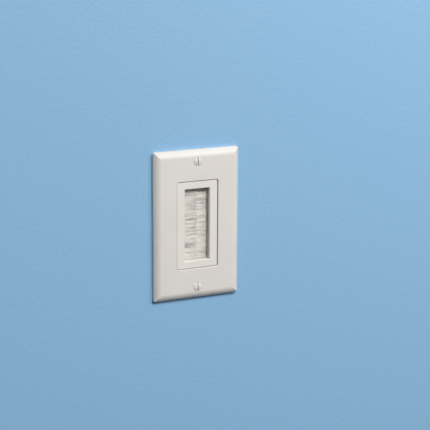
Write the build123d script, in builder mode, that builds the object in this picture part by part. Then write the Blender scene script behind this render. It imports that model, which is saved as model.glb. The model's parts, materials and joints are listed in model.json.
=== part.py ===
"""Single-gang decorator wall plate with a brush cable entry, as its separate pieces.

The front looks along -Y, +Z is up, and the origin is the middle of the plate on the
face of the wall. A height is a distance out of the wall, towards the front, so what
lies behind the wall's face has a negative height.
"""
from build123d import *
from math import atan2, hypot, radians, tan
import os

# Wall plate
plate_width = 69.85
plate_height = 114.3
plate_depth = 5.6
plate_wall = 2.0
plate_edge_height = 2.55
plate_bevel_width = 2.55
plate_corner_radius = 1.8
plate_shoulder_radius = 6.5
plate_nose_radius = 0.7
shoulder_share_of_bevel = 0.98
plate_opening_chamfer = 0.3
hollow_corner_radius = 1.0
plate_screw_inset = 8.73
plate_screw_hole_radius = 2.1
screw_boss_radius = 5.2
collar_wall = 1.4
rib_thickness = 1.0
rib_height = 1.1
side_rib_pitch = 26.0
end_rib_spacing = 24.0

# Decorator insert and its strap
insert_width = 33.3
insert_height = 66.7
insert_corner_radius = 1.3
insert_edge_chamfer = 0.35
insert_gap = 0.4
insert_recess = 0.7
opening_width = 20.3
opening_height = 55.2
opening_chamfer = 0.5
lip_depth = 3.5
bezel_skin = 1.8
bezel_wall = 1.6
strap_thickness = 1.8
strap_width = 40.0
strap_body_height = 74.0
ear_width = 33.0
ear_end_inset = 4.15
ear_corner_radius = 3.0
strap_corner_radius = 2.5
box_screw_spacing = 83.3
box_screw_hole_radius = 2.15
thread_boss_radius = 3.3
thread_boss_height = 0.9
seat_clearance = 0.1

# Brush strips, seated in the pocket behind the lip
channel_width = 3.6
channel_height = 4.6
channel_sheet = 0.5
channel_setback = 1.4
channel_mouth_gap = 2.15
channel_knee_height = 2.4
channel_end_clearance = 0.2
channel_clearance = 0.05
pocket_side_clearance = 0.15
seat_rib_height = 0.4
seat_rib_thickness = 1.2
seat_rib_pitch = 18.0
core_wire_radius = 0.6
core_wire_clearance = 0.1
bristle_loop_radius = 1.2
bristle_loop_clearance = 0.1
bristle_pack_thickness = 2.0
bristle_layer_gap = 0.1
tuft_pitch = 1.25
tuft_slit = 0.18
tuft_root = 0.6
reach_past_centre = 1.7
row_clearance = 0.1

# Rear retainer and its screws
retainer_thickness = 2.2
retainer_corner_radius = 1.2
retainer_opening_margin = 0.4
retainer_edge_chamfer = 0.6
retainer_rib_inset = 1.2
retainer_rib_width = 1.6
retainer_rib_height = 0.9
retainer_tongue_length = 7.0
retainer_tongue_spacing = 18.0
retainer_tongue_depth = 1.8
retainer_tongue_clearance = 0.25
boss_radius = 2.2
boss_hole_depth = 5.2

# Fasteners
plate_screw_head_radius = 3.45
plate_screw_dome = 0.9
plate_screw_head_angle = 82.0
plate_screw_shank_radius = 1.75
plate_screw_length = 15.9
screw_slot_width = 1.0
screw_slot_depth = 1.5
countersink_clearance = 0.1
thread_clearance = 0.05
retainer_screw_head_radius = 1.9
retainer_screw_head_height = 1.3
retainer_screw_radius = 0.95
retainer_screw_length = 5.5
retainer_screw_clearance = 0.25
recess_width = 0.6
recess_length = 2.2
recess_depth = 0.8

# Heights worked out from the driving sizes
insert_face = plate_depth - insert_recess
lip_rear = insert_face - lip_depth
bezel_roof = insert_face - bezel_skin
pocket_depth = seat_rib_height + channel_width + 2 * channel_clearance
pocket_rear = lip_rear - pocket_depth
channel_front = lip_rear - seat_rib_height - channel_clearance
brush_height = channel_front - channel_width / 2
retainer_rear = pocket_rear - retainer_thickness
plate_inside = plate_depth - plate_wall

# Lengths and sideways places worked out from the driving sizes
plate_screw_spacing = plate_height - 2 * plate_screw_inset
ear_end_height = plate_height - 2 * ear_end_inset
channel_mouth = opening_width / 2 + channel_setback
channel_base = channel_mouth + channel_height
pocket_width = 2 * (channel_base + pocket_side_clearance)
housing_width = pocket_width + 2 * bezel_wall
chamber_width = insert_width - 2 * bezel_wall
chamber_inner = opening_height / 2 + bezel_wall
chamber_outer = insert_height / 2 - bezel_wall
chamber_middle = (chamber_inner + chamber_outer) / 2
wire_centre = channel_base - channel_sheet - bristle_loop_clearance - bristle_loop_radius
brush_length = opening_height - 2 * channel_end_clearance
row_length = channel_mouth + reach_past_centre
tip_lean = (bristle_pack_thickness + row_clearance) * row_length / (2 * channel_mouth)
retainer_opening_width = opening_width + 2 * retainer_opening_margin

# A sketch of the plate's length runs along Z here, with the front towards its own -Y
lengthwise = Plane(origin=(0, 0, 0), x_dir=(0, 0, 1), z_dir=(-1, 0, 0))


def edge_section(plane, length, depth, edge_height, bevel_width, shoulder_radius, nose_radius=0.0):
    """Section of the plate's form: upright edges, steep bevels and the wide shoulders over them.

    Without a nose radius it is the hollow's section, which has a flat for each shoulder.
    """
    half = length / 2
    slope = atan2(depth - edge_height, bevel_width)
    nose_run = nose_radius * tan((radians(90) - slope) / 2)
    bevel_run = hypot(depth - edge_height, bevel_width) - nose_run
    shoulder_run = min(shoulder_radius * tan(slope / 2), shoulder_share_of_bevel * bevel_run)
    with BuildSketch(plane) as section:
        with BuildLine():
            Polyline(
                (-half, 0),
                (-half, -edge_height),
                (-half + bevel_width, -depth),
                (half - bevel_width, -depth),
                (half, -edge_height),
                (half, 0),
                close=True,
            )
        make_face()
        rows = section.vertices().group_by(Axis.Y)
        if nose_radius > 0:
            fillet(rows[0], radius=shoulder_run / tan(slope / 2))
            fillet(rows[1], radius=nose_radius)
        else:
            chamfer(rows[0], length=shoulder_run)
    return section.sketch


# Wall plate: two bevelled lengths crossed, so the bevels meet on mitre lines, then hollowed
bevel_angle = atan2(plate_depth - plate_edge_height, plate_bevel_width)
hollow_edge = plate_edge_height - plate_wall * tan((radians(90) - bevel_angle) / 2)
hollow_bevel = plate_bevel_width - plate_wall + plate_wall * tan(bevel_angle / 2)
hollow_shoulder = plate_shoulder_radius - plate_wall
hollow_width = plate_width - 2 * plate_wall
hollow_height = plate_height - 2 * plate_wall

outer_form = (plate_depth, plate_edge_height, plate_bevel_width, plate_shoulder_radius, plate_nose_radius)
inner_form = (plate_inside, hollow_edge, hollow_bevel, hollow_shoulder)

with BuildPart() as plate_hollow:
    extrude(edge_section(Plane.XY, hollow_width, *inner_form), amount=hollow_height / 2, both=True)
    across = edge_section(lengthwise, hollow_height, *inner_form)
    extrude(across, amount=hollow_width / 2, both=True, mode=Mode.INTERSECT)
    with BuildSketch(Plane.XZ):
        RectangleRounded(hollow_width, hollow_height, hollow_corner_radius)
    extrude(amount=plate_depth, mode=Mode.INTERSECT)

with BuildPart() as plate_ribs:
    with BuildSketch(Plane.XZ.offset(plate_depth - plate_wall)):
        RectangleRounded(
            insert_width + 2 * (insert_gap + collar_wall),
            insert_height + 2 * (insert_gap + collar_wall),
            insert_corner_radius + insert_gap + collar_wall,
        )
        with Locations((0, -plate_screw_spacing / 2), (0, plate_screw_spacing / 2)):
            Circle(screw_boss_radius)
    extrude(amount=-(plate_inside - strap_thickness - thread_boss_height - seat_clearance))
    with BuildSketch(Plane.XZ.offset(plate_depth - plate_wall)):
        with GridLocations(0, side_rib_pitch, 1, 3):
            Rectangle(plate_width - plate_wall, rib_thickness)
        with GridLocations(end_rib_spacing, 0, 2, 1):
            Rectangle(rib_thickness, plate_height - plate_wall)
    extrude(amount=-rib_height)

with BuildPart() as wall_plate:
    extrude(edge_section(Plane.XY, plate_width, *outer_form), amount=plate_height / 2, both=True)
    across = edge_section(lengthwise, plate_height, *outer_form)
    extrude(across, amount=plate_width / 2, both=True, mode=Mode.INTERSECT)
    with BuildSketch(Plane.XZ):
        RectangleRounded(plate_width, plate_height, plate_corner_radius)
    extrude(amount=plate_depth, mode=Mode.INTERSECT)
    add(plate_hollow.part - plate_ribs.part, mode=Mode.SUBTRACT)
    with BuildSketch(Plane.XZ.offset(plate_depth)):
        RectangleRounded(
            insert_width + 2 * insert_gap,
            insert_height + 2 * insert_gap,
            insert_corner_radius + insert_gap,
        )
    extrude(amount=-plate_depth, mode=Mode.SUBTRACT)
    face = wall_plate.faces().sort_by(Axis.Y)[0]
    chamfer(face.inner_wires()[0].edges(), length=plate_opening_chamfer)
    with Locations(Plane.XZ.offset(plate_depth)):
        with GridLocations(0, plate_screw_spacing, 1, 2):
            CounterSinkHole(
                plate_screw_hole_radius,
                plate_screw_head_radius + countersink_clearance,
                counter_sink_angle=plate_screw_head_angle,
            )
wall_plate.part.label = "wall_plate"

# Decorator insert: strap, bezel and rear housing as one moulding
with BuildPart() as insert_frame:
    with BuildSketch(Plane.XZ):
        RectangleRounded(ear_width, ear_end_height, ear_corner_radius)
        RectangleRounded(strap_width, strap_body_height, strap_corner_radius)
    extrude(amount=strap_thickness)
    with BuildSketch(Plane.XZ.offset(strap_thickness)):
        RectangleRounded(insert_width, insert_height, insert_corner_radius)
    extrude(amount=insert_face - strap_thickness)
    chamfer(insert_frame.edges().group_by(Axis.Y)[0], length=insert_edge_chamfer)
    with BuildSketch(Plane.XZ):
        Rectangle(housing_width, insert_height)
    extrude(amount=pocket_rear)
    with BuildSketch(Plane.XZ.offset(strap_thickness)):
        with GridLocations(0, plate_screw_spacing, 1, 2):
            Circle(thread_boss_radius)
    extrude(amount=thread_boss_height)
    # The opening, and the pocket that widens behind its lip for the brush strips
    with BuildSketch(Plane.XZ.offset(insert_face)):
        Rectangle(opening_width, opening_height)
    extrude(amount=-lip_depth, mode=Mode.SUBTRACT)
    face = insert_frame.faces().sort_by(Axis.Y)[0]
    chamfer(face.inner_wires()[0].edges(), length=opening_chamfer)
    with BuildSketch(Plane.XZ.offset(lip_rear)):
        Rectangle(pocket_width, opening_height)
    extrude(amount=-pocket_depth, mode=Mode.SUBTRACT)
    # The bezel is cored from behind, down its sides and right through the ends
    with BuildSketch(Plane.XZ.offset(bezel_roof)):
        Rectangle(chamber_width, 2 * chamber_outer)
        Rectangle(opening_width + 2 * bezel_wall, 2 * chamber_inner, mode=Mode.SUBTRACT)
    extrude(amount=lip_rear - bezel_roof, mode=Mode.SUBTRACT)
    with BuildSketch(Plane.XZ.offset(bezel_roof)):
        with GridLocations(0, 2 * chamber_middle, 1, 2):
            Rectangle(chamber_width, chamber_outer - chamber_inner)
    extrude(amount=pocket_rear - bezel_roof, mode=Mode.SUBTRACT)
    # Webs across the side cores carry the channels, and bosses stand in the end cores
    with BuildSketch(Plane.XZ.offset(bezel_roof)):
        for side in (-1, 1):
            with Locations((side * (channel_mouth + channel_base) / 2, 0)):
                with GridLocations(0, seat_rib_pitch, 1, 3):
                    Rectangle(channel_height + 2 * pocket_side_clearance, seat_rib_thickness)
    extrude(amount=lip_rear - seat_rib_height - bezel_roof)
    with BuildSketch(Plane.XZ.offset(bezel_roof)):
        with GridLocations(0, 2 * chamber_middle, 1, 2):
            Circle(boss_radius)
    extrude(amount=pocket_rear - bezel_roof)
    with Locations(Plane.XZ.offset(pocket_rear)):
        with GridLocations(0, 2 * chamber_middle, 1, 2):
            Cylinder(
                retainer_screw_radius + thread_clearance,
                boss_hole_depth,
                align=(Align.CENTER, Align.CENTER, Align.MIN),
                mode=Mode.SUBTRACT,
            )
    with Locations(Plane.XZ.offset(strap_thickness)):
        with GridLocations(0, box_screw_spacing, 1, 2):
            Hole(box_screw_hole_radius)
    with Locations(Plane.XZ.offset(strap_thickness + thread_boss_height)):
        with GridLocations(0, plate_screw_spacing, 1, 2):
            Hole(plate_screw_shank_radius + thread_clearance)
insert_frame.part.label = "insert_frame"

# Rear retainer: frame with a rib down each side and two tongues into each end core
with BuildPart() as brush_retainer:
    with BuildSketch(Plane.XZ.offset(retainer_rear)):
        RectangleRounded(housing_width, insert_height, retainer_corner_radius)
        Rectangle(retainer_opening_width, opening_height, mode=Mode.SUBTRACT)
    extrude(amount=retainer_thickness)
    rear_face = brush_retainer.faces().sort_by(Axis.Y)[-1]
    chamfer(rear_face.inner_wires()[0].edges(), length=retainer_edge_chamfer)
    with BuildSketch(Plane.XZ.offset(retainer_rear)):
        with GridLocations(retainer_opening_width + 2 * retainer_rib_inset + retainer_rib_width, 0, 2, 1):
            Rectangle(retainer_rib_width, opening_height)
    extrude(amount=-retainer_rib_height)
    with BuildSketch(Plane.XZ.offset(pocket_rear)):
        with GridLocations(retainer_tongue_spacing, 2 * chamber_middle, 2, 2):
            Rectangle(retainer_tongue_length, chamber_outer - chamber_inner - 2 * retainer_tongue_clearance)
    extrude(amount=retainer_tongue_depth)
    with Locations(Plane.XZ.offset(pocket_rear)):
        with GridLocations(0, 2 * chamber_middle, 1, 2):
            Hole(retainer_screw_radius + retainer_screw_clearance)
brush_retainer.part.label = "brush_retainer"


def channel_section(side):
    """Folded sheet channel, seen from above, with its legs pinched together at the mouth."""
    knee = channel_base - channel_knee_height
    with BuildSketch(Plane.XY) as section:
        for sheet, mode in ((channel_sheet, Mode.ADD), (0, Mode.SUBTRACT)):
            leg = channel_width / 2 - channel_sheet + sheet
            mouth = channel_mouth_gap / 2 + sheet
            base = channel_base - channel_sheet + sheet
            with BuildLine():
                Polyline(
                    (side * channel_mouth, -brush_height - mouth),
                    (side * knee, -brush_height - leg),
                    (side * base, -brush_height - leg),
                    (side * base, -brush_height + leg),
                    (side * knee, -brush_height + leg),
                    (side * channel_mouth, -brush_height + mouth),
                    close=True,
                )
            make_face(mode=mode)
    return section.sketch


def root_section(side):
    """Bristles folded round the core wire and squeezed together up to the channel's mouth."""
    half_pack = bristle_pack_thickness / 2
    with BuildSketch(Plane.XY) as section:
        with Locations((side * wire_centre, -brush_height)):
            Circle(bristle_loop_radius)
        with BuildLine():
            Polyline(
                (side * wire_centre, -brush_height - bristle_loop_radius),
                (side * channel_mouth, -brush_height - half_pack),
                (side * channel_mouth, -brush_height + half_pack),
                (side * wire_centre, -brush_height + bristle_loop_radius),
                close=True,
            )
        make_face()
        with Locations((side * wire_centre, -brush_height)):
            Circle(core_wire_radius + core_wire_clearance, mode=Mode.SUBTRACT)
    return section.sketch


def layer_section(side, layer):
    """One of the row's two layers, seen from above: out of the root, then straight to its tips.

    The left row leans forward and the right one back, so that their tips pass each other.
    """
    thickness = (bristle_pack_thickness - bristle_layer_gap) / 2
    middle = -brush_height + layer * (thickness + bristle_layer_gap) / 2
    centre = [
        (side * (channel_mouth + tuft_root), middle),
        (side * channel_mouth, middle),
        (-side * reach_past_centre, middle + side * tip_lean),
    ]
    front = [(x, y - thickness / 2) for x, y in centre]
    rear = [(x, y + thickness / 2) for x, y in centre]
    with BuildSketch(Plane.XY) as section:
        with BuildLine():
            Polyline(*front, *reversed(rear), close=True)
        make_face()
    return section.sketch


def comb_layer(section, stagger):
    """The layer at full height, then slit into tufts from its tips to the channel's mouth."""
    count = int(brush_length / tuft_pitch) - 1
    depth = 2 * (bristle_pack_thickness + tip_lean)
    with BuildPart() as layer:
        extrude(section, amount=brush_length / 2, both=True)
        with Locations((0, -brush_height, stagger * tuft_pitch / 2)):
            with Locations(*[(0, 0, (n - (count - 1) / 2) * tuft_pitch) for n in range(count)]):
                Box(2 * channel_mouth, depth, tuft_slit, mode=Mode.SUBTRACT)
    return layer.part


# Brush strips: channel, core wire and bristle row on each side
brush_parts = {}
for name, side in (("left", -1), ("right", 1)):
    with BuildPart() as channel:
        extrude(channel_section(side), amount=brush_length / 2, both=True)
    brush_parts[name + "_channel"] = channel.part

    with BuildPart() as core_wire:
        with BuildSketch(Plane.XY):
            with Locations((side * wire_centre, -brush_height)):
                Circle(core_wire_radius)
        extrude(amount=brush_length / 2, both=True)
    brush_parts[name + "_core_wire"] = core_wire.part

    front_layer = comb_layer(layer_section(side, -1), 0)
    rear_layer = comb_layer(layer_section(side, 1), 1)
    with BuildPart() as bristles:
        extrude(root_section(side), amount=brush_length / 2, both=True)
        add(front_layer)
        add(rear_layer)
    brush_parts[name + "_bristles"] = bristles.part

# Plate screws: slotted oval heads, seated in the plate's countersinks
head_cone = (plate_screw_head_radius - plate_screw_shank_radius) / tan(radians(plate_screw_head_angle / 2))
screw_tip = plate_depth - plate_screw_length
with BuildPart() as plate_screw:
    with BuildSketch(Plane.XY):
        with BuildLine():
            ThreePointArc(
                (-plate_screw_head_radius, -plate_depth),
                (0, -plate_depth - plate_screw_dome),
                (plate_screw_head_radius, -plate_depth),
            )
            Polyline(
                (plate_screw_head_radius, -plate_depth),
                (plate_screw_shank_radius, -plate_depth + head_cone),
                (plate_screw_shank_radius, -screw_tip),
                (-plate_screw_shank_radius, -screw_tip),
                (-plate_screw_shank_radius, -plate_depth + head_cone),
                (-plate_screw_head_radius, -plate_depth),
            )
        make_face()
        split(bisect_by=Plane.YZ)
    revolve(axis=Axis.Y)
    with Locations((0, -plate_depth - plate_screw_dome, 0)):
        Box(screw_slot_width, 2 * screw_slot_depth, 2 * plate_screw_head_radius, mode=Mode.SUBTRACT)

with BuildPart() as plate_screws:
    with Locations((0, 0, -plate_screw_spacing / 2), (0, 0, plate_screw_spacing / 2)):
        add(plate_screw.part)
plate_screws.part.label = "plate_screws"

# Retainer screws: flat heads with a cross recess, driven into the insert's bosses
with BuildPart() as retainer_screw:
    with BuildSketch(Plane.XZ):
        Circle(retainer_screw_radius)
    extrude(amount=retainer_screw_length)
    with BuildSketch(Plane.XZ):
        Circle(retainer_screw_head_radius)
    extrude(amount=-retainer_screw_head_height)
    with Locations((0, retainer_screw_head_height, 0)):
        Box(recess_width, 2 * recess_depth, recess_length, mode=Mode.SUBTRACT)
        Box(recess_length, 2 * recess_depth, recess_width, mode=Mode.SUBTRACT)

with BuildPart() as retainer_screws:
    with Locations((0, -retainer_rear, -chamber_middle), (0, -retainer_rear, chamber_middle)):
        add(retainer_screw.part)
retainer_screws.part.label = "retainer_screws"

# One file for each piece
os.makedirs("parts", exist_ok=True)
export_step(wall_plate.part, "parts/wall_plate.step")
export_step(insert_frame.part, "parts/insert_frame.step")
export_step(brush_retainer.part, "parts/brush_retainer.step")
export_step(plate_screws.part, "parts/plate_screws.step")
export_step(retainer_screws.part, "parts/retainer_screws.step")
for name, piece in brush_parts.items():
    piece.label = name
    export_step(piece, f"parts/{name}.step")
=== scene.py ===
"""Looks of the cable entry brush plate: finishes, dense bristle rows, threaded screws, light and camera.

Everything is in metres, in the CAD model's frame: +Z up, the front towards -Y, the wall's face at y = 0.
"""
import json
import math
import random

import bpy
from mathutils import Matrix, Vector


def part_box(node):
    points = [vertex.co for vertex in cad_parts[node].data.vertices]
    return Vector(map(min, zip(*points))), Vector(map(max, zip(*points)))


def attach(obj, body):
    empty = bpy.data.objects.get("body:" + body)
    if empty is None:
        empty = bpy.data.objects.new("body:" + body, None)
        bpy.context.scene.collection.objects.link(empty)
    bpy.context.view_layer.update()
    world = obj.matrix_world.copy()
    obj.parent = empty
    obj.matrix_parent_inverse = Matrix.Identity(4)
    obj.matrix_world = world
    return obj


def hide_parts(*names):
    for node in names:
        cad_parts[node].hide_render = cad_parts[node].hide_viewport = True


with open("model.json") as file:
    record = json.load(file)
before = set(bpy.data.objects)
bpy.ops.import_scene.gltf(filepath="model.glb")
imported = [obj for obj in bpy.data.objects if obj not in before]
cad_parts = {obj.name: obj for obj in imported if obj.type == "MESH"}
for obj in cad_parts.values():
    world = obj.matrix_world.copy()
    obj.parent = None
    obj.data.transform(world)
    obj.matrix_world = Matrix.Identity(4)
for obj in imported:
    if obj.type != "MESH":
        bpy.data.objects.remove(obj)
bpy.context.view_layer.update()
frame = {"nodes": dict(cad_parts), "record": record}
MM = 0.001

# Camera, fitted to the plate's edges in the photograph
CAMERA_AZIMUTH = -26.018
CAMERA_ELEVATION = 13.238
CAMERA_ROLL = 0.296
CAMERA_DISTANCE = 1098.15 * MM
CAMERA_TARGET = (17.142 * MM, 0.0, 4.785 * MM)
FOCAL_PIXELS = 1447.65
FRAME_PIXELS = 430.0
SENSOR_WIDTH_MM = 36.0

# Colours, as linear values
PLATE_COLOUR = (0.713, 0.688, 0.658)
INSERT_COLOUR = (0.753, 0.73, 0.693)
BRISTLE_LIGHT = (0.890, 0.861, 0.815)
BRISTLE_DARK = (0.36, 0.345, 0.33)
WALL_COLOUR = (0.247, 0.458, 0.682)
FLOOR_COLOUR = (0.80, 0.80, 0.79)

# Bristles, in millimetres and shares of one
FILAMENT_RADIUS = 0.078
FILAMENT_RADIUS_SPREAD = (0.85, 1.15)
FILAMENTS_PER_ROW = 3400
FILAMENT_SEGMENTS = 4
FILAMENT_SIDES = 4
PACK_HALF = 1.0
ROOT_IN_CHANNEL = 0.3
TUFT_HEIGHTS = (6.0, 13.0)
TUFT_GATHER = (0.02, 0.14)
BUNDLE_HEIGHTS = (0.7, 2.3)
BUNDLE_GATHER = (0.1, 0.6)
BUNDLE_DRIFT = 0.15
BUNDLE_ROOT_GATHER = (0.0, 0.12)
BUNDLE_SUNK = (0.0, 0.7)
BUNDLE_SHORT = (0.0, 0.3)
FILAMENT_SHORT = (0.0, 0.35)
FILAMENT_WANDER = 0.05
STRAY_SHARE = 0.02
STRAY_LIFT = 0.7
LAYERS = ((-1.0, 0.05), (0.05, 1.0))
CORE_LAYERS = ((-0.62, 0.05), (0.05, 0.62))
CORE_SHORT_OF_TIP = 0.7
ROW_SEEDS = {"left": 11, "right": 23}

# Painted light: what is added to the bristles' tone beyond the left row's tips, as stops across both
# rows, so that the right row, which lies deeper in shade, renders lighter
PAINTED_LIGHT_HALF_SPAN = 12.0
PAINTED_LIGHT_ACROSS = [(0.56, (0.0,) * 3), (0.575, (0.055,) * 3)]

# Plate screws, in millimetres and degrees
SCREW_SPACING = 96.84
SCREW_HEAD_RADIUS = 3.45
SCREW_HEAD_RINGS = 10
SCREW_SEGMENTS = 40
SCREW_DOME = 0.9
SCREW_FACE = 5.6
SCREW_CREST = 1.74
SCREW_CORE = 1.38
SCREW_TIP = 1.13
SCREW_PITCH = 0.794
SCREW_CONE_ANGLE = 41.0
RINGS_PER_TURN = 8
THREAD_START_FADE = 1.0
THREAD_END_FADE = 0.7
THREAD_CREST_FLAT = 1.25
THREAD_CLEAR_OF_NECK = 0.4
SLOT_WIDTH = 1.0
SLOT_DEPTH = 1.5
SLOT_OVERRUN = 1.2
SOFT_EDGE = 0.09
SOFT_EDGE_ANGLE = 50
SHARP_EDGE_ANGLE = 35

# Stage, in metres
WALL_HALF = 1.4
PLATE_ON_WALL = 0.0007
WALL_SET_BACK = 0.00004
FLOOR_DROP = 1.2
VOID_BEHIND = 0.0006
# Painted shade: the colour of a dark sheet that stands for the unlit inside of the wall behind the
# bristles
PAINTED_SHADE_COLOUR = (0.02, 0.02, 0.02)

# Lamps: place and size in metres, power in watts, colour; and the world's two strengths
LAMPS = {
    "key": ((0.28, -2.64, 2.42), 1.40, 122, (1.0, 0.985, 0.97)),
    "side": ((0.60, -0.68, 0.42), 0.30, 2.6, (1.0, 0.985, 0.97)),
    "rear": ((-0.6, 1.2, 0.8), 0.8, 24, (1.0, 0.99, 0.97)),
}
FILL = ((0.98, 0.99, 1.0, 1.0), 0.094)
BACKDROP = ((0.95, 0.97, 1.0, 1.0), 0.6)


# Materials


def new_material(name):
    """Node material with its nodes, its links and its one Principled shader, ready to be wired."""
    material = bpy.data.materials.new(name)
    material.use_nodes = True
    nodes = material.node_tree.nodes
    shader = nodes["Principled BSDF"]
    return material, nodes, material.node_tree.links, shader


def object_coordinates(nodes, links, scale=(1, 1, 1)):
    """Object coordinates, stretched by a scale for each axis."""
    source = nodes.new("ShaderNodeTexCoord")
    mapping = nodes.new("ShaderNodeMapping")
    mapping.inputs["Scale"].default_value = scale
    links.new(source.outputs["Object"], mapping.inputs["Vector"])
    return mapping.outputs["Vector"]


def noise(nodes, links, vector, scale, detail, roughness=0.5):
    """Value of a noise texture, its scale per metre."""
    texture = nodes.new("ShaderNodeTexNoise")
    texture.inputs["Scale"].default_value = scale
    texture.inputs["Detail"].default_value = detail
    texture.inputs["Roughness"].default_value = roughness
    links.new(vector, texture.inputs["Vector"])
    return texture.outputs["Fac"]


def ramp(nodes, links, value, stops):
    """Colour ramp with (position, colour) stops."""
    node = nodes.new("ShaderNodeValToRGB")
    elements = node.color_ramp.elements
    while len(elements) < len(stops):
        elements.new(0.5)
    for element, (position, colour) in zip(elements, stops):
        element.position = position
        element.color = (*colour, 1.0)
    links.new(value, node.inputs["Fac"])
    return node.outputs["Color"]


def spread(nodes, links, value, low, high, start=0.3, end=0.7):
    """The value mapped from start..end, by default where noise mostly lies, to low..high."""
    node = nodes.new("ShaderNodeMapRange")
    node.inputs["From Min"].default_value = start
    node.inputs["From Max"].default_value = end
    node.inputs["To Min"].default_value = low
    node.inputs["To Max"].default_value = high
    links.new(value, node.inputs["Value"])
    return node.outputs["Result"]


def bump(nodes, links, height, strength, distance):
    """Bump from a height, its distance in metres."""
    node = nodes.new("ShaderNodeBump")
    node.inputs["Strength"].default_value = strength
    node.inputs["Distance"].default_value = distance
    links.new(height, node.inputs["Height"])
    return node.outputs["Normal"]


def tint(colour, factor):
    """A colour made darker or lighter by a factor."""
    return tuple(min(1.0, channel * factor) for channel in colour)


def moulded_plastic(name, colour, roughness, grain):
    """Smooth moulded plastic: faint cloudy tone, slight orange peel and a fine grain."""
    material, nodes, links, shader = new_material(name)
    vector = object_coordinates(nodes, links)
    cloud = noise(nodes, links, vector, scale=45, detail=4)
    colours = ramp(nodes, links, cloud, [(0.3, tint(colour, 0.975)), (0.7, tint(colour, 1.02))])
    links.new(colours, shader.inputs["Base Color"])
    smear = noise(nodes, links, vector, scale=160, detail=4)
    uneven = spread(nodes, links, smear, low=roughness - 0.02, high=roughness + 0.03)
    links.new(uneven, shader.inputs["Roughness"])
    peel = noise(nodes, links, vector, scale=420, detail=2)
    fine = noise(nodes, links, vector, scale=5200, detail=3)
    mix = nodes.new("ShaderNodeMix")
    mix.inputs["Factor"].default_value = grain
    links.new(peel, mix.inputs["A"])
    links.new(fine, mix.inputs["B"])
    relief = bump(nodes, links, mix.outputs["Result"], strength=0.12, distance=0.00006)
    links.new(relief, shader.inputs["Normal"])
    shader.inputs["IOR"].default_value = 1.5
    shader.inputs["Subsurface Weight"].default_value = 0.08
    shader.inputs["Subsurface Radius"].default_value = (0.0012, 0.0010, 0.0008)
    shader.inputs["Subsurface Scale"].default_value = 1.0
    return material


def metal(name, colour, roughness, stretch, wear):
    """Bare metal with drawn or rolled lines, where it is stretched along an axis, and dull patches."""
    material, nodes, links, shader = new_material(name)
    vector = object_coordinates(nodes, links, stretch)
    lines = noise(nodes, links, vector, scale=900, detail=3)
    cloud = noise(nodes, links, vector, scale=60, detail=4)
    colours = ramp(nodes, links, cloud, [(0.3, tint(colour, 1.0 - wear)), (0.7, tint(colour, 1.05))])
    links.new(colours, shader.inputs["Base Color"])
    uneven = spread(nodes, links, lines, low=roughness - 0.08, high=roughness + 0.12)
    links.new(uneven, shader.inputs["Roughness"])
    links.new(bump(nodes, links, lines, strength=0.2, distance=0.00002), shader.inputs["Normal"])
    shader.inputs["Metallic"].default_value = 1.0
    return material


def screw_paint(name, colour):
    """Satin paint over steel, with a slightly uneven tone and surface."""
    material, nodes, links, shader = new_material(name)
    cloud = noise(nodes, links, object_coordinates(nodes, links), scale=500, detail=4)
    colours = ramp(nodes, links, cloud, [(0.3, tint(colour, 0.95)), (0.7, tint(colour, 1.02))])
    links.new(colours, shader.inputs["Base Color"])
    links.new(spread(nodes, links, cloud, low=0.48, high=0.6), shader.inputs["Roughness"])
    links.new(bump(nodes, links, cloud, strength=0.2, distance=0.00004), shader.inputs["Normal"])
    return material


def bristle_material(name, light, dark):
    """Pale nylon filaments, their tone varied by the bundle and along it, and raised beyond the left
    row's tips as painted light on the shaded right row.
    """
    material, nodes, links, shader = new_material(name)
    along_bundles = object_coordinates(nodes, links, (0.10, 0.25, 1))
    along_strands = object_coordinates(nodes, links, (0.02, 1, 1))
    bundles = noise(nodes, links, along_bundles, scale=420, detail=3, roughness=0.6)
    strands = noise(nodes, links, along_strands, scale=3600, detail=2)
    mix = nodes.new("ShaderNodeMix")
    mix.inputs["Factor"].default_value = 0.22
    links.new(bundles, mix.inputs["A"])
    links.new(strands, mix.inputs["B"])
    # Painted light: the tone is raised beyond the left row's tips, where the right row lies deeper in
    # shade.
    across = nodes.new("ShaderNodeSeparateXYZ")
    links.new(object_coordinates(nodes, links), across.inputs["Vector"])
    half_span = PAINTED_LIGHT_HALF_SPAN * MM
    place = spread(nodes, links, across.outputs["X"], 0.0, 1.0, start=-half_span, end=half_span)
    shade = nodes.new("ShaderNodeMath")
    shade.operation = "ADD"
    links.new(mix.outputs["Result"], shade.inputs[0])
    links.new(ramp(nodes, links, place, PAINTED_LIGHT_ACROSS), shade.inputs[1])
    stops = [(0.36, dark), (0.47, tint(light, 0.82)), (0.60, light)]
    links.new(ramp(nodes, links, shade.outputs["Value"], stops), shader.inputs["Base Color"])
    links.new(spread(nodes, links, strands, low=0.38, high=0.55), shader.inputs["Roughness"])
    links.new(bump(nodes, links, strands, strength=0.1, distance=0.00002), shader.inputs["Normal"])
    shader.inputs["IOR"].default_value = 1.53
    return material


def one_sided(name, colour, rough_scale, roughness=0.9, specular=0.1):
    """Stage paint that shows only from its front, so that the object can be seen from behind."""
    material, nodes, links, shader = new_material(name)
    rolled = noise(nodes, links, object_coordinates(nodes, links), rough_scale, detail=4)
    colours = ramp(nodes, links, rolled, [(0.3, tint(colour, 0.985)), (0.7, colour)])
    links.new(colours, shader.inputs["Base Color"])
    links.new(bump(nodes, links, rolled, strength=0.25, distance=0.0008), shader.inputs["Normal"])
    shader.inputs["Roughness"].default_value = roughness
    shader.inputs["Specular IOR Level"].default_value = specular
    geometry = nodes.new("ShaderNodeNewGeometry")
    clear = nodes.new("ShaderNodeBsdfTransparent")
    choose = nodes.new("ShaderNodeMixShader")
    links.new(geometry.outputs["Backfacing"], choose.inputs[0])
    links.new(shader.outputs[0], choose.inputs[1])
    links.new(clear.outputs[0], choose.inputs[2])
    links.new(choose.outputs[0], nodes["Material Output"].inputs["Surface"])
    return material


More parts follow.
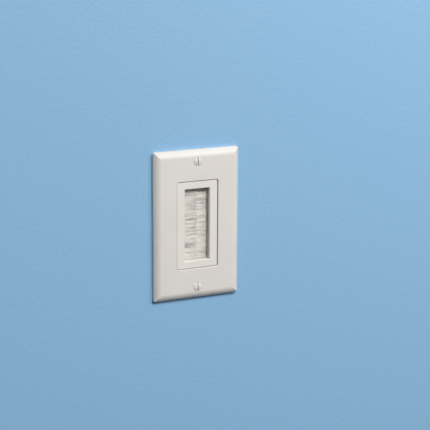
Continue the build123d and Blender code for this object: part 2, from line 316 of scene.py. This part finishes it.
MATERIALS = {
    "plate_plastic": moulded_plastic("plate_plastic", PLATE_COLOUR, 0.47, 0.35),
    "insert_plastic": moulded_plastic("insert_plastic", INSERT_COLOUR, 0.46, 0.45),
    "retainer_plastic": moulded_plastic("retainer_plastic", tint(INSERT_COLOUR, 0.93), 0.55, 0.8),
    "bristle": bristle_material("bristle", BRISTLE_LIGHT, BRISTLE_DARK),
    "channel_metal": metal("channel_metal", (0.60, 0.60, 0.61), 0.42, (1, 1, 0.03), 0.12),
    "wire_steel": metal("wire_steel", (0.50, 0.50, 0.51), 0.35, (1, 1, 0.05), 0.10),
    "painted_screw": screw_paint("painted_screw", PLATE_COLOUR),
    "screw_steel": metal("screw_steel", (0.62, 0.61, 0.58), 0.34, (1, 1, 1), 0.15),
}
for part in frame["record"]["subparts"]:
    node = frame["nodes"][part["node"]]
    node.data.materials.clear()
    node.data.materials.append(MATERIALS[part["material_slot"]])


# Meshes


def mesh_object(name, points, faces, material, smooth=True, flat_faces=()):
    """Object from points and faces. The flat faces come last and are never smooth."""
    mesh = bpy.data.meshes.new(name)
    mesh.from_pydata(points, [], [*faces, *flat_faces])
    mesh.polygons.foreach_set("use_smooth", [smooth] * len(faces) + [False] * len(flat_faces))
    mesh.materials.append(material)
    mesh.update()
    piece = bpy.data.objects.new(name, mesh)
    bpy.context.scene.collection.objects.link(piece)
    return piece


def tube(points, faces, route, radius):
    """One thin tube along its route, with a blunt tip."""
    start = len(points)
    for n, place in enumerate(route):
        ahead = route[min(n + 1, len(route) - 1)] - route[max(n - 1, 0)]
        across = ahead.cross(Vector((0, 0, 1))).normalized()
        up = across.cross(ahead).normalized()
        for side in range(FILAMENT_SIDES):
            turn = 2 * math.pi * side / FILAMENT_SIDES
            points.append(place + (across * math.cos(turn) + up * math.sin(turn)) * radius)
    for n in range(len(route) - 1):
        for side in range(FILAMENT_SIDES):
            after = (side + 1) % FILAMENT_SIDES
            low = start + n * FILAMENT_SIDES
            high = low + FILAMENT_SIDES
            faces.append((low + side, low + after, high + after, high + side))
    last = start + (len(route) - 1) * FILAMENT_SIDES
    faces.append(tuple(last + side for side in range(FILAMENT_SIDES)))


def split_up(chance, bottom, top, heights):
    """The low and high ends of the parts that a stretch falls into, each of a random height."""
    parts = []
    low = bottom
    while low < top:
        high = min(low + chance.uniform(*heights), top)
        parts.append((low, high))
        low = high
    return parts


def split_into_bundles(chance, bottom, top):
    """Bundles in tufts up the row: how each gathers and drifts, how deep it lies, how short it is."""
    bundles = []
    for tuft_low, tuft_high in split_up(chance, bottom, top, TUFT_HEIGHTS):
        at_row_end = tuft_low == bottom or tuft_high == top
        tuft_gather = 0.0 if at_row_end else chance.uniform(*TUFT_GATHER)
        for low, high in split_up(chance, tuft_low, tuft_high, BUNDLE_HEIGHTS):
            bundles.append({
                "low": low,
                "high": high,
                "tuft": (tuft_low + tuft_high) / 2,
                "tuft_gather": tuft_gather,
                "gather": chance.uniform(*BUNDLE_GATHER),
                "root_gather": chance.uniform(*BUNDLE_ROOT_GATHER),
                "drift": chance.gauss(0, BUNDLE_DRIFT),
                "sunk": chance.uniform(*BUNDLE_SUNK),
                "short": chance.uniform(*BUNDLE_SHORT),
            })
    return bundles


def bristle_row(name, side, seed):
    """Thousands of fine filaments in loose bundles, on the same slant as the row's plain comb.

    The side is -1 for the row that comes from the left and 1 for the row from the right.
    """
    low, high = (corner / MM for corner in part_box(name + "_bristles"))
    channel_low, channel_high = (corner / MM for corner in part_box(name + "_channel"))
    mouth = min(abs(channel_low.x), abs(channel_high.x))
    reach = min(abs(low.x), abs(high.x))
    middle = (channel_low.y + channel_high.y) / 2
    lean = middle - PACK_HALF - low.y if side < 0 else middle + PACK_HALF - high.y
    length = mouth + reach
    bottom = low.z + FILAMENT_RADIUS
    top = high.z - FILAMENT_RADIUS
    chance = random.Random(seed)
    points = []
    filament_faces = []
    core_faces = []

    def place(bundle, share, depth, height):
        """The point at a share of the way from the channel's mouth to the tips."""
        along = mouth - share * length
        out = middle + depth + (bundle["sunk"] - lean) * share
        return Vector((side * along, out, min(max(height, bottom), top))) * MM

    def gathered(bundle, height, share):
        """Where a filament of the bundle lies: bundle and tuft narrow and drift towards the tips."""
        centre = (bundle["low"] + bundle["high"]) / 2
        at_root = bundle["root_gather"] * (centre - height)
        at_tip = bundle["gather"] * (centre - height) + bundle["drift"]
        at_tip += bundle["tuft_gather"] * (bundle["tuft"] - height)
        return height + at_root * (1 - share) ** 2 + at_tip * share**2

    def filament(bundle, layer):
        """One fine filament of a bundle, from inside the channel to the ragged tips."""
        height = chance.uniform(bundle["low"], bundle["high"])
        depth = chance.uniform(*layer) * PACK_HALF
        wander = chance.gauss(0, FILAMENT_WANDER)
        stray = chance.gauss(0, STRAY_LIFT) if chance.random() < STRAY_SHARE else 0.0
        end = 1 - (bundle["short"] + chance.uniform(*FILAMENT_SHORT)) / length
        route = []
        for n in range(FILAMENT_SEGMENTS + 1):
            root = ROOT_IN_CHANNEL / length * (1 - n / FILAMENT_SEGMENTS)
            share = end * n / FILAMENT_SEGMENTS - root
            lift = gathered(bundle, height, max(share, 0)) + (wander + stray) * share
            route.append(place(bundle, share, depth, lift))
        radius = FILAMENT_RADIUS * MM * chance.uniform(*FILAMENT_RADIUS_SPREAD)
        tube(points, filament_faces, route, radius)

    def core(bundle, layer):
        """The bundle's packed middle, behind its outer filaments."""
        first = len(points)
        front, back = layer
        end = 1 - (bundle["short"] + CORE_SHORT_OF_TIP) / length
        for n in range(FILAMENT_SEGMENTS + 1):
            share = end * n / FILAMENT_SEGMENTS
            for height, depth in (("low", front), ("high", front), ("high", back), ("low", back)):
                lift = gathered(bundle, bundle[height], share)
                points.append(place(bundle, share, depth * PACK_HALF, lift))
        for n in range(FILAMENT_SEGMENTS):
            for corner in range(4):
                after = (corner + 1) % 4
                ring = first + 4 * n
                core_faces.append((ring + corner, ring + after, ring + 4 + after, ring + 4 + corner))
        core_faces.append((first + 3, first + 2, first + 1, first))
        last = first + 4 * FILAMENT_SEGMENTS
        core_faces.append((last, last + 1, last + 2, last + 3))

    for layer, core_layer in zip(LAYERS, CORE_LAYERS):
        in_layer = FILAMENTS_PER_ROW * (layer[1] - layer[0]) / (LAYERS[-1][1] - LAYERS[0][0])
        for bundle in split_into_bundles(chance, bottom, top):
            in_bundle = in_layer * (bundle["high"] - bundle["low"]) / (top - bottom)
            for _ in range(round(in_bundle)):
                filament(bundle, layer)
            core(bundle, core_layer)
    material = MATERIALS["bristle"]
    row = mesh_object(name + "_filaments", points, filament_faces, material, flat_faces=core_faces)
    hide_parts(name + "_bristles")
    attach(row, "root")


bristle_row("left", -1, ROW_SEEDS["left"])
bristle_row("right", 1, ROW_SEEDS["right"])


# Plate screws with cut threads and slotted oval heads


def lathe(name, rings, segments, material):
    """Closed turned form along Y. Each ring is its y and its radius as a function of the turn."""
    points = []
    faces = []
    for out, radius in rings:
        for n in range(segments):
            turn = 2 * math.pi * n / segments
            reach = radius(turn) * MM
            points.append((reach * math.cos(turn), out * MM, reach * math.sin(turn)))
    for ring in range(len(rings) - 1):
        for n in range(segments):
            after = (n + 1) % segments
            low = ring * segments
            faces.append((low + n, low + after, low + segments + after, low + segments + n))
    faces.append(tuple(reversed(range(segments))))
    last = (len(rings) - 1) * segments
    faces.append(tuple(last + n for n in range(segments)))
    return mesh_object(name, points, faces, material)


def thread_radius(out, start, end):
    """Radius of the thread at a place along the screw, as a function of the turn."""
    fade_in = max(0.0, (out - start) / THREAD_START_FADE)
    fade_out = max(0.0, (end - out) / THREAD_END_FADE)
    fade = min(1.0, fade_in, fade_out)

    def at(turn):
        phase = (out / SCREW_PITCH - turn / (2 * math.pi)) % 1.0
        height = 1 - abs(2 * phase - 1)
        crest = SCREW_CORE + (SCREW_CREST - SCREW_CORE) * min(1.0, THREAD_CREST_FLAT * height)
        return crest * fade + SCREW_CORE * (1 - fade)

    return at


def screw_mesh(name):
    """Mesh of one oval-head screw at the origin, its slot cut upright through the dome."""
    sphere = (SCREW_HEAD_RADIUS**2 + SCREW_DOME**2) / (2 * SCREW_DOME)
    rings = []
    for n in range(1, SCREW_HEAD_RINGS + 1):
        radius = SCREW_HEAD_RADIUS * n / SCREW_HEAD_RINGS
        height = math.sqrt(sphere**2 - radius**2) - (sphere - SCREW_DOME)
        rings.append((-SCREW_FACE - height, lambda turn, r=radius: r))
    cone = (SCREW_HEAD_RADIUS - SCREW_CREST) / math.tan(math.radians(SCREW_CONE_ANGLE))
    neck = -SCREW_FACE + cone
    rings.append((neck, lambda turn: SCREW_CREST))
    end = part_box("plate_screws")[1].y / MM
    steps = int((end - neck - THREAD_CLEAR_OF_NECK) / (SCREW_PITCH / RINGS_PER_TURN))
    for n in range(1, steps + 1):
        out = neck + (end - neck) * n / (steps + 1)
        rings.append((out, thread_radius(out, neck, end)))
    rings.append((end, lambda turn: SCREW_TIP))
    material = MATERIALS["painted_screw"]
    screw = lathe(name, rings, SCREW_SEGMENTS, material)
    half_width = SLOT_WIDTH / 2
    half_length = SCREW_HEAD_RADIUS * SLOT_OVERRUN
    crown = -SCREW_FACE - SCREW_DOME
    corners = [
        Vector((x * half_width, crown + y * SLOT_DEPTH, z * half_length)) * MM
        for x in (-1, 1)
        for y in (-1, 1)
        for z in (-1, 1)
    ]
    sides = [(0, 1, 3, 2), (4, 6, 7, 5), (0, 4, 5, 1), (2, 3, 7, 6), (0, 2, 6, 4), (1, 5, 7, 3)]
    cutter = mesh_object(name + "_slot", corners, sides, material, smooth=False)
    cut = screw.modifiers.new("slot", "BOOLEAN")
    cut.operation = "DIFFERENCE"
    cut.solver = "EXACT"
    cut.object = cutter
    edge = screw.modifiers.new("soft_edges", "BEVEL")
    edge.width = SOFT_EDGE * MM
    edge.segments = 2
    edge.limit_method = "ANGLE"
    edge.angle_limit = math.radians(SOFT_EDGE_ANGLE)
    bpy.context.view_layer.update()
    evaluated = screw.evaluated_get(bpy.context.evaluated_depsgraph_get())
    finished = bpy.data.meshes.new_from_object(evaluated)
    bpy.data.objects.remove(cutter)
    bpy.data.objects.remove(screw)
    return finished


def plate_screws():
    """Both screws, as the pieces that stand for the plain ones."""
    mesh = screw_mesh("plate_screw")
    mesh.shade_smooth()
    for name, side in (("upper_plate_screw", 1), ("lower_plate_screw", -1)):
        own = mesh.copy()
        own.transform(Matrix.Translation((0, 0, side * SCREW_SPACING / 2 * MM)))
        screw = bpy.data.objects.new(name, own)
        bpy.context.scene.collection.objects.link(screw)
        sharp = screw.modifiers.new("sharp_edges", "EDGE_SPLIT")
        sharp.split_angle = math.radians(SHARP_EDGE_ANGLE)
        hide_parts("plate_screws")
        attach(screw, "root")


plate_screws()


# Stage: a wall, a dark sheet of painted shade for the inside of the wall, and a floor far below


def rectangle(left, low, right, high):
    """The four corners in order round the rectangle."""
    return [(left, low), (right, low), (right, high), (left, high)]


def stage_wall():
    """The wall, open behind the plate, so that the plate's back can be seen and lit."""
    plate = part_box("wall_plate")[1]
    half_width = plate.x - PLATE_ON_WALL
    half_height = plate.z - PLATE_ON_WALL
    outer = rectangle(-WALL_HALF, -FLOOR_DROP, WALL_HALF, WALL_HALF)
    inner = rectangle(-half_width, -half_height, half_width, half_height)
    points = [(x, WALL_SET_BACK, z) for x, z in outer + inner]
    faces = [(n, (n + 1) % 4, 4 + (n + 1) % 4, 4 + n) for n in range(4)]
    paint = one_sided("wall_paint", WALL_COLOUR, rough_scale=300, roughness=0.5, specular=0.5)
    mesh_object("wall", points, faces, paint, smooth=False)


def stage_floor():
    """A pale floor, which throws no light up on to the plate."""
    half = 2 * WALL_HALF
    points = [(x, y, -FLOOR_DROP) for x, y in rectangle(-half, -half, half, half)]
    paint = one_sided("floor_paint", FLOOR_COLOUR, rough_scale=60)
    floor = mesh_object("floor", points, [(0, 1, 2, 3)], paint, smooth=False)
    floor.visible_diffuse = False


def stage_painted_shade():
    """A dark sheet of painted shade for the unlit inside of the wall, just behind the throat, seen only
    through the bristles.
    """
    low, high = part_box("brush_retainer")
    behind = high.y + VOID_BEHIND
    points = [(x, behind, z) for x, z in rectangle(low.x, low.z, high.x, high.z)]
    # Painted shade: the sheet is dark, so that the gaps in the bristles read as the shaded inside of the
    # wall.
    paint = one_sided("shade_sheet", PAINTED_SHADE_COLOUR, rough_scale=60)
    shade_sheet = mesh_object("painted_shade_sheet", points, [(0, 1, 2, 3)], paint, smooth=False)
    shade_sheet.visible_shadow = False
    shade_sheet.visible_diffuse = False


stage_wall()
stage_floor()
stage_painted_shade()


# Light: a large lamp high in front, a small one at the right, one behind, and an even world


def area_lamp(name, place, size, power, colour):
    """A round lamp that points at the origin."""
    data = bpy.data.lights.new(name, "AREA")
    data.shape = "DISK"
    data.size = size
    data.energy = power
    data.color = colour
    lamp = bpy.data.objects.new(name, data)
    lamp.location = place
    lamp.rotation_euler = (-Vector(place)).to_track_quat("-Z", "Y").to_euler()
    bpy.context.scene.collection.objects.link(lamp)


for lamp_name, settings in LAMPS.items():
    area_lamp(lamp_name, *settings)


def studio_world():
    """A weak even fill, with a pale backdrop for the camera, reflections and transmission alone."""
    world = bpy.data.worlds.new("studio")
    world.use_nodes = True
    nodes = world.node_tree.nodes
    links = world.node_tree.links
    fill = nodes["Background"]
    backdrop = nodes.new("ShaderNodeBackground")
    for background, (colour, strength) in ((fill, FILL), (backdrop, BACKDROP)):
        background.inputs["Color"].default_value = colour
        background.inputs["Strength"].default_value = strength
    path = nodes.new("ShaderNodeLightPath")
    seen = path.outputs["Is Camera Ray"]
    for ray in ("Is Glossy Ray", "Is Transmission Ray"):
        either = nodes.new("ShaderNodeMath")
        either.operation = "MAXIMUM"
        links.new(seen, either.inputs[0])
        links.new(path.outputs[ray], either.inputs[1])
        seen = either.outputs["Value"]
    choose = nodes.new("ShaderNodeMixShader")
    links.new(seen, choose.inputs[0])
    links.new(fill.outputs[0], choose.inputs[1])
    links.new(backdrop.outputs[0], choose.inputs[2])
    links.new(choose.outputs[0], nodes["World Output"].inputs["Surface"])
    bpy.context.scene.world = world


studio_world()


# Camera

azimuth = math.radians(CAMERA_AZIMUTH)
elevation = math.radians(CAMERA_ELEVATION)
away = Vector((
    math.sin(azimuth) * math.cos(elevation),
    -math.cos(azimuth) * math.cos(elevation),
    math.sin(elevation),
))
camera_data = bpy.data.cameras.new("camera")
camera_data.sensor_width = SENSOR_WIDTH_MM
camera_data.lens = FOCAL_PIXELS / FRAME_PIXELS * SENSOR_WIDTH_MM
camera_data.clip_start = 0.01
camera = bpy.data.objects.new("camera", camera_data)
camera.location = Vector(CAMERA_TARGET) + away * CAMERA_DISTANCE
level = (-away).to_track_quat("-Z", "Y").to_matrix()
roll = Matrix.Rotation(math.radians(CAMERA_ROLL), 3, "Z")
camera.rotation_euler = (level @ roll).to_euler()
bpy.context.scene.collection.objects.link(camera)
bpy.context.scene.camera = camera
bpy.context.scene.view_settings.view_transform = "Standard"
